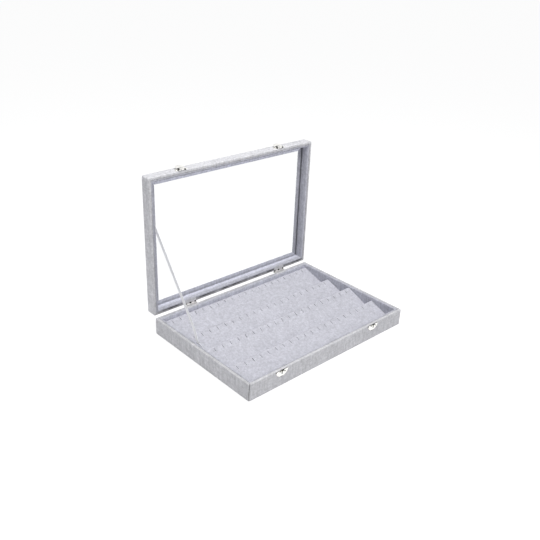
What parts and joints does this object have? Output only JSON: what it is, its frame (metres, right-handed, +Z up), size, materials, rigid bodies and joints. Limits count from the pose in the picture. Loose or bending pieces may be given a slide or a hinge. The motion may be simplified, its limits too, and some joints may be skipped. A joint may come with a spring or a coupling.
{
  "type": "jewellery display case",
  "caption": "Flat velvet-covered display case with a hinged glass lid, stepped slotted insert, front latches and a ribbon lid stay.",
  "frame": {"origin": "centre of the case's underside, where it stands", "axes": "+X along the case's length to the right, +Y to the hinge side at the back, +Z up; the lid stands open in the rest pose"},
  "size_m": [0.35, 0.2645, 0.2768],
  "materials": {
    "outer_velvet": "matte short-pile velvet, light grey",
    "lining_velvet": "matte short-pile velvet, light grey",
    "insert_velvet": "matte short-pile velvet, pale lavender grey",
    "fibreboard": "bare fibreboard",
    "felt": "thin pressed felt",
    "glass": "clear float glass",
    "ribbon_satin": "white satin ribbon",
    "hinge_nickel": "nickel plated, dull",
    "latch_nickel": "nickel plated, warm and bright"
  },
  "bodies": {
    "base": {"base_front_board": "fibreboard", "base_back_board": "fibreboard", "base_left_board": "fibreboard", "base_right_board": "fibreboard", "base_floor": "fibreboard", "base_outer_cover": "outer_velvet", "base_lining": "lining_velvet", "base_underside": "felt", "insert_ramp_1": "insert_velvet", "insert_ramp_2": "insert_velvet", "insert_ramp_3": "insert_velvet", "insert_ramp_4": "insert_velvet", "insert_riser_1": "fibreboard", "insert_riser_2": "fibreboard", "insert_riser_3": "fibreboard", "insert_riser_4": "fibreboard", "hinge_left_base_leaf": "hinge_nickel", "hinge_right_base_leaf": "hinge_nickel", "hinge_left_pin": "hinge_nickel", "hinge_right_pin": "hinge_nickel", "hinge_base_screws": "hinge_nickel", "catch_left": "latch_nickel", "catch_right": "latch_nickel", "catch_nails": "latch_nickel", "ribbon": "ribbon_satin"},
    "lid": {"lid_front_rail": "fibreboard", "lid_back_rail": "fibreboard", "lid_left_rail": "fibreboard", "lid_right_rail": "fibreboard", "lid_front_bead": "lining_velvet", "lid_back_bead": "lining_velvet", "lid_left_bead": "lining_velvet", "lid_right_bead": "lining_velvet", "lid_outer_cover": "outer_velvet", "lid_lining": "lining_velvet", "lid_glass": "glass", "hinge_left_lid_leaf": "hinge_nickel", "hinge_right_lid_leaf": "hinge_nickel", "hinge_lid_screws": "hinge_nickel", "latch_left_plate": "latch_nickel", "latch_right_plate": "latch_nickel", "latch_left_pin": "latch_nickel", "latch_right_pin": "latch_nickel", "latch_nails": "latch_nickel"},
    "flap_left": {"latch_left_flap": "latch_nickel"},
    "flap_right": {"latch_right_flap": "latch_nickel"}
  },
  "joints": [
    {"name": "lid_hinge", "type": "hinge", "parent": "base", "child": "lid", "pos_m": [0, 0.1222, 0.0303], "axis": [1, 0, 0], "range_deg": [0, 90], "deforming": ["ribbon"]},
    {"name": "latch_flap_left", "type": "hinge", "parent": "lid", "child": "flap_left", "pos_m": [-0.111, 0.1234, 0.27385], "axis": [1, 0, 0], "range_deg": [0, 168]},
    {"name": "latch_flap_right", "type": "hinge", "parent": "lid", "child": "flap_right", "pos_m": [0.098, 0.1234, 0.27385], "axis": [1, 0, 0], "range_deg": [0, 168]}
  ]
}
